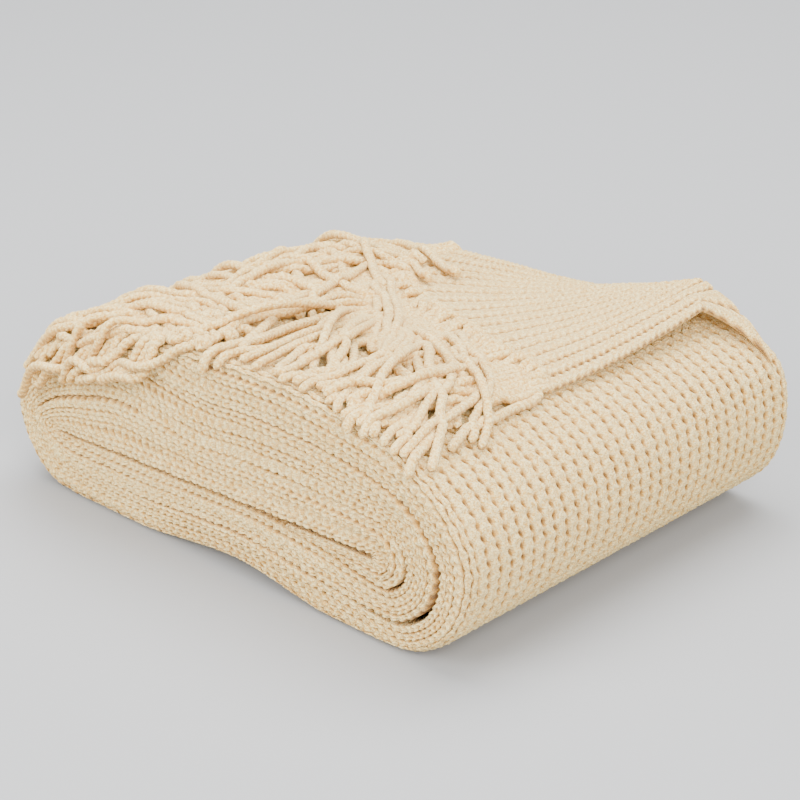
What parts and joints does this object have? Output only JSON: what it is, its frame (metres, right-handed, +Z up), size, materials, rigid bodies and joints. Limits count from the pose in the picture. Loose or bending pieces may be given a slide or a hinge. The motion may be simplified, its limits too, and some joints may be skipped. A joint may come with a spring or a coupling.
{
  "type": "rolled chenille throw",
  "caption": "Cream chenille knit throw, folded lengthwise and rolled flat, with one layer fanned over the top and loose yarn fringe at its end.",
  "frame": {"origin": "centre of the bounding box in plan, on the surface that the roll rests on", "axes": "+Y along the roll's axis, away from the wound end shown first; +X across the roll towards its full rounded side; +Z up"},
  "size_m": [0.417, 0.32, 0.164],
  "materials": {
    "chenille": "matte cream chenille knit, ribbed"
  },
  "bodies": {
    "root": {"rolled_throw": "chenille", "loose_end": "chenille", "upper_fringe": "chenille", "lower_fringe": "chenille"}
  },
  "joints": []
}
